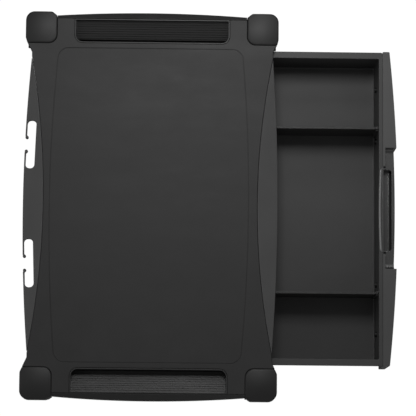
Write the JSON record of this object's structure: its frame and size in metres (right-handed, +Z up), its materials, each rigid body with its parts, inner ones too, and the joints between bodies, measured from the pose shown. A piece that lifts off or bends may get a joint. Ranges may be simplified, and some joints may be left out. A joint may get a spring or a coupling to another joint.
{
  "type": "desk riser with drawer",
  "caption": "Free-standing desk riser on corner legs with a wide pull-out divided drawer, ribbed side trays and a rear rail with cable slots.",
  "frame": {"origin": "on the desk surface, under the middle of the whole object with its drawer pulled out", "axes": "+X along the long side of the riser, the drawer opens along -Y (front), +Z up"},
  "size_m": [0.5, 0.479, 0.12],
  "materials": {
    "deck_plastic": "fine matt texture, black",
    "rail_plastic": "smooth satin, black",
    "cap_plastic": "smooth satin, black",
    "leg_plastic": "fine matt texture, black",
    "side_tray_plastic": "matt, black",
    "runner_plastic": "matt, black",
    "drawer_plastic": "satin, black",
    "front_plastic": "satin, black",
    "pull_plastic": "semi-gloss, black",
    "divider_plastic": "satin, black",
    "glide_plastic": "natural low-friction plastic",
    "foot_rubber": "matt rubber, black",
    "screw_steel": "blackened steel"
  },
  "bodies": {
    "stand": {"deck_plate": "deck_plastic", "front_bezel": "rail_plastic", "rear_cable_rail": "rail_plastic", "side_skirt_left": "deck_plastic", "side_skirt_right": "deck_plastic", "side_tray_left": "side_tray_plastic", "side_tray_right": "side_tray_plastic", "corner_cap_front_left": "cap_plastic", "corner_cap_front_right": "cap_plastic", "corner_cap_rear_left": "cap_plastic", "corner_cap_rear_right": "cap_plastic", "leg_upper_front_left": "leg_plastic", "leg_upper_front_right": "leg_plastic", "leg_upper_rear_left": "leg_plastic", "leg_upper_rear_right": "leg_plastic", "leg_lower_front_left": "leg_plastic", "leg_lower_front_right": "leg_plastic", "leg_lower_rear_left": "leg_plastic", "leg_lower_rear_right": "leg_plastic", "foot_pad_front_left": "foot_rubber", "foot_pad_front_right": "foot_rubber", "foot_pad_rear_left": "foot_rubber", "foot_pad_rear_right": "foot_rubber", "runner_left": "runner_plastic", "runner_right": "runner_plastic", "rear_apron": "runner_plastic", "leg_screws": "screw_steel", "deck_screws": "screw_steel"},
    "drawer": {"drawer_tray": "drawer_plastic", "drawer_front": "front_plastic", "drawer_pull": "pull_plastic", "divider_left": "divider_plastic", "divider_right": "divider_plastic", "drawer_glides": "glide_plastic", "drawer_stops": "runner_plastic", "drawer_front_screws": "screw_steel"}
  },
  "joints": [
    {"name": "drawer_slide", "type": "slide", "parent": "stand", "child": "drawer", "axis": [0, -1, 0], "range_m": [-0.15, 0.04]}
  ]
}
